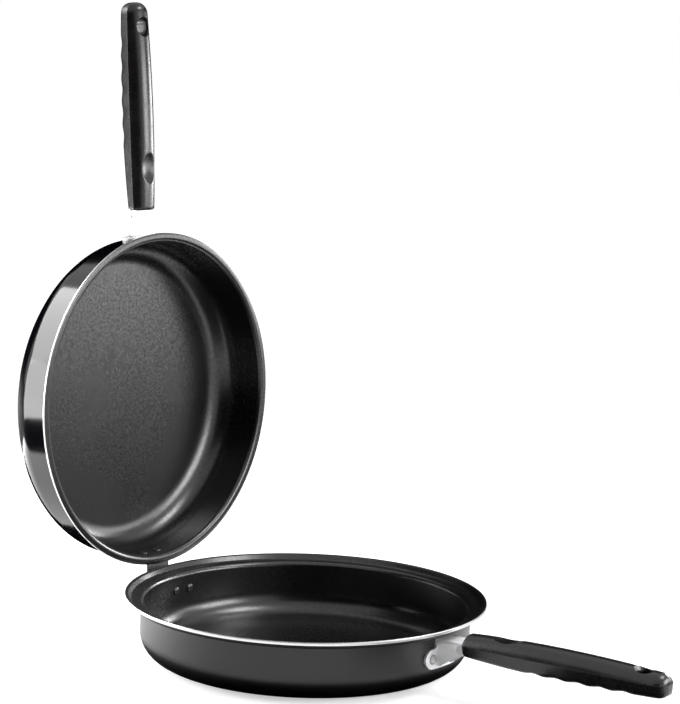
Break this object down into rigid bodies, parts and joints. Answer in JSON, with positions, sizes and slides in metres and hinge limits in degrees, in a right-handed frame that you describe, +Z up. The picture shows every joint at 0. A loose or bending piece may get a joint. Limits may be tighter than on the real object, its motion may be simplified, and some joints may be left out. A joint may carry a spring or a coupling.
{
  "type": "double sided flip pan",
  "caption": "Two shallow round pans hinged rim to rim, each with a steel bracket and a moulded grip; it opens to stand upright and closes face to face for turning food.",
  "frame": {"origin": "centre of the lower pan's flat base, on the surface it rests on", "axes": "+X from the centre towards the lower grip, +Y along the hinge pin, +Z up; the upper pan stands open at the stop"},
  "size_m": [0.5032, 0.27, 0.4829],
  "materials": {
    "lower_pan": "gloss black enamel outside, matte dark grey non-stick inside, bare metal rim edge",
    "upper_pan": "gloss black enamel outside, matte dark grey non-stick inside, bare metal rim edge",
    "bracket": "polished",
    "rivets": "satin black",
    "grip": "semi-gloss moulded black",
    "screws": "plain steel",
    "hinge": "satin black",
    "hinge_pin": "plain steel"
  },
  "bodies": {
    "lower_pan": {"lower_pan_body": "lower_pan", "lower_handle_bracket": "bracket", "lower_handle_rivets": "rivets", "lower_hinge_rivets": "rivets", "lower_handle_grip": "grip", "lower_grip_screw": "screws", "lower_hinge_leaf": "hinge", "hinge_pin": "hinge_pin"},
    "upper_pan": {"upper_pan_body": "upper_pan", "upper_handle_bracket": "bracket", "upper_handle_rivets": "rivets", "upper_hinge_rivets": "rivets", "upper_handle_grip": "grip", "upper_grip_screw": "screws", "upper_hinge_leaf": "hinge"}
  },
  "joints": [
    {"name": "pan_hinge", "type": "hinge", "parent": "lower_pan", "child": "upper_pan", "pos_m": [-0.1377, 0, 0.0401], "axis": [0, 1, 0], "range_deg": [0, 92]}
  ]
}
